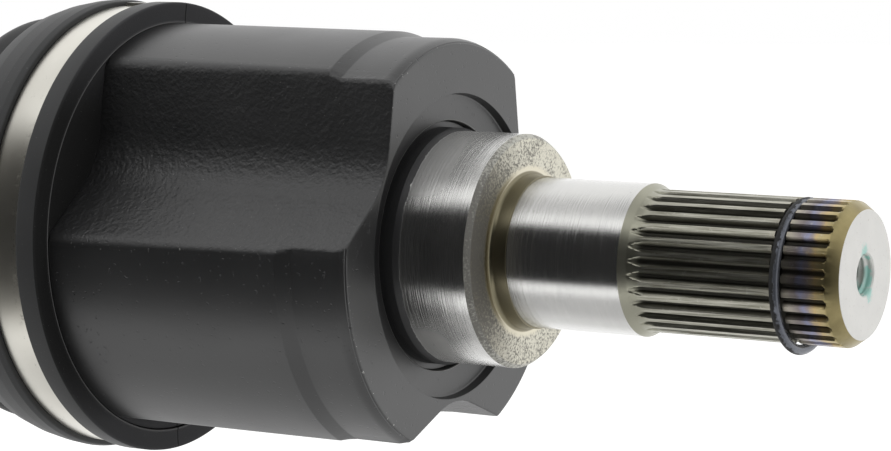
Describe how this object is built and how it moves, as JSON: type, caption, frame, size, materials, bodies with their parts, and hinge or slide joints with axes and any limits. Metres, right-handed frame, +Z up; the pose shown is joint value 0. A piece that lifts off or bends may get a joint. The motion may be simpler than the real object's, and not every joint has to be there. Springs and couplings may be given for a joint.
{
  "type": "half shaft",
  "caption": "Drive half shaft: a three-lobed tripod plunging joint with a splined stub, a bar, and a caged ball joint with a threaded stub, both joints under bellows boots.",
  "frame": {"origin": "on the shaft's axis, at the middle of the polished gearbox seat", "axes": "+X along the shaft and out of the gearbox end, +Z up through one lobe of the tripod housing"},
  "size_m": [0.6457, 0.0976, 0.0976],
  "materials": {
    "black_paint": "satin black paint on a forged and turned steel housing; its stub is bare ground steel",
    "snap_ring": "black spring steel wire",
    "adapter": "hard black rubber",
    "boot": "matte black moulded boot",
    "clamp": "brushed stainless band",
    "bearing_steel": "ground bearing steel",
    "spring_clip": "dark phosphated spring steel",
    "bar_paint": "satin black paint on a steel bar",
    "race_steel": "hardened and ground steel",
    "bell_steel": "satin black paint on a forged bell; its stub is bare machined steel"
  },
  "bodies": {
    "housing": {"inboard_housing": "black_paint", "stub_snap_ring": "snap_ring", "boot_adapter": "adapter", "inboard_boot": "boot", "inboard_large_clamp": "clamp"},
    "carrier": {"needles_1": "bearing_steel"},
    "roller_a": {"roller_1": "bearing_steel"},
    "roller_b": {"roller_2": "bearing_steel"},
    "roller_c": {"roller_3": "bearing_steel"},
    "shaft": {"spider": "race_steel", "needles_2": "bearing_steel", "needles_3": "bearing_steel", "trunnion_washers": "race_steel", "trunnion_clips": "spring_clip", "spider_clip": "spring_clip", "spider_stop_ring": "spring_clip", "bar_shaft": "bar_paint", "inner_race": "race_steel", "race_clip": "spring_clip", "inboard_small_clamp": "clamp", "outboard_small_clamp": "clamp"},
    "cage": {"ball_cage": "race_steel", "balls": "bearing_steel"},
    "bell": {"outer_race": "bell_steel", "outboard_boot": "boot", "outboard_large_clamp": "clamp"}
  },
  "joints": [
    {"name": "inboard_plunge", "type": "slide", "parent": "housing", "child": "carrier", "axis": [1, 0, 0], "range_m": [-0.018, 0.018], "deforming": ["inboard_boot"]},
    {"name": "inboard_tilt", "type": "hinge", "parent": "carrier", "child": "shaft", "pos_m": [-0.06022, 0, 0], "axis": [0, 0, 1], "range_deg": [-15, 15]},
    {"name": "roller_a_roll", "type": "hinge", "parent": "carrier", "child": "roller_a", "pos_m": [-0.06022, 0, 0], "axis": [0, 0, 1], "range_deg": [-64, 64]},
    {"name": "roller_b_roll", "type": "hinge", "parent": "shaft", "child": "roller_b", "pos_m": [-0.06022, 0, 0], "axis": [0, -0.866, -0.5], "range_deg": [-64, 64]},
    {"name": "roller_c_roll", "type": "hinge", "parent": "shaft", "child": "roller_c", "pos_m": [-0.06022, 0, 0], "axis": [0, 0.866, -0.5], "range_deg": [-64, 64]},
    {"name": "outboard_tilt", "type": "hinge", "parent": "shaft", "child": "bell", "pos_m": [-0.44822, 0, 0], "axis": [0, 0, 1], "range_deg": [-40, 40], "deforming": ["outboard_boot"]},
    {"name": "cage_tilt", "type": "hinge", "parent": "shaft", "child": "cage", "pos_m": [-0.44822, 0, 0], "axis": [0, 0, 1], "range_deg": [-21, 21]}
  ],
  "couplings": [
    {"joint": "roller_a_roll", "follows": "inboard_plunge", "rad_per_m": -58.824},
    {"joint": "roller_b_roll", "follows": "inboard_plunge", "rad_per_m": -58.824},
    {"joint": "roller_c_roll", "follows": "inboard_plunge", "rad_per_m": -58.824},
    {"joint": "cage_tilt", "follows": "outboard_tilt", "ratio": 0.5}
  ]
}
